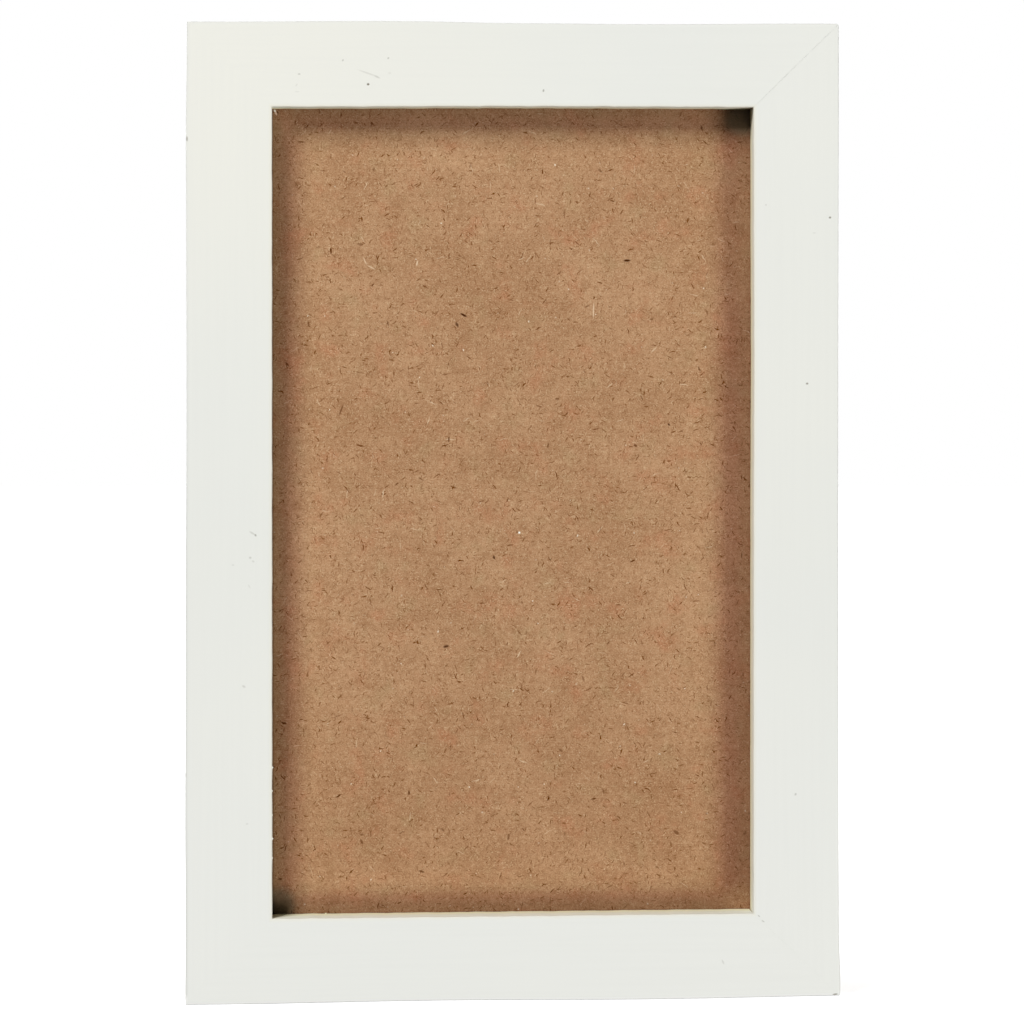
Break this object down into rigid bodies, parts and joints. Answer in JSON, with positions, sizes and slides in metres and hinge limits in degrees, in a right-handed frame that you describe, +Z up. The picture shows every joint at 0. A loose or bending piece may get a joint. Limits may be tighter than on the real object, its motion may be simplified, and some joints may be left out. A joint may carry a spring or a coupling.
{
  "type": "picture frame",
  "caption": "Portrait picture frame in white-painted wood: flat mitred sides, a recessed hardboard back held by swivelling turn buttons, and a sawtooth hanger.",
  "frame": {"origin": "middle of the bottom edge, on the face on which the frame can stand", "axes": "+X to the right as seen from the front, +Z up, and -Y out of the front of the frame"},
  "size_m": [0.2, 0.0182, 0.3],
  "materials": {
    "painted_wood": "satin white paint",
    "hardboard": "raw pressed fibreboard",
    "zinc_steel": "bright zinc plate",
    "bare_steel": "plain bright steel"
  },
  "bodies": {
    "frame": {"top_rail": "painted_wood", "bottom_rail": "painted_wood", "left_stile": "painted_wood", "right_stile": "painted_wood", "backing_board": "hardboard", "v_nail_bottom_left_outer": "bare_steel", "v_nail_bottom_left_inner": "bare_steel", "v_nail_bottom_right_outer": "bare_steel", "v_nail_bottom_right_inner": "bare_steel", "v_nail_top_left_outer": "bare_steel", "v_nail_top_left_inner": "bare_steel", "v_nail_top_right_outer": "bare_steel", "v_nail_top_right_inner": "bare_steel", "button_screw_left_upper": "zinc_steel", "button_screw_left_lower": "zinc_steel", "button_screw_right_upper": "zinc_steel", "button_screw_right_lower": "zinc_steel", "sawtooth_hanger": "zinc_steel", "hanger_nail_left": "bare_steel", "hanger_nail_right": "bare_steel"},
    "turn_button_left_upper": {"turn_button_left_upper": "zinc_steel"},
    "turn_button_left_lower": {"turn_button_left_lower": "zinc_steel"},
    "turn_button_right_upper": {"turn_button_right_upper": "zinc_steel"},
    "turn_button_right_lower": {"turn_button_right_lower": "zinc_steel"}
  },
  "joints": [
    {"name": "left_upper_button_turn", "type": "hinge", "parent": "frame", "child": "turn_button_left_upper", "pos_m": [-0.086, 0.0082, 0.23], "axis": [0, 1, 0], "continuous": true},
    {"name": "left_lower_button_turn", "type": "hinge", "parent": "frame", "child": "turn_button_left_lower", "pos_m": [-0.086, 0.0082, 0.07], "axis": [0, 1, 0], "continuous": true},
    {"name": "right_upper_button_turn", "type": "hinge", "parent": "frame", "child": "turn_button_right_upper", "pos_m": [0.086, 0.0082, 0.23], "axis": [0, 1, 0], "continuous": true},
    {"name": "right_lower_button_turn", "type": "hinge", "parent": "frame", "child": "turn_button_right_lower", "pos_m": [0.086, 0.0082, 0.07], "axis": [0, 1, 0], "continuous": true}
  ]
}
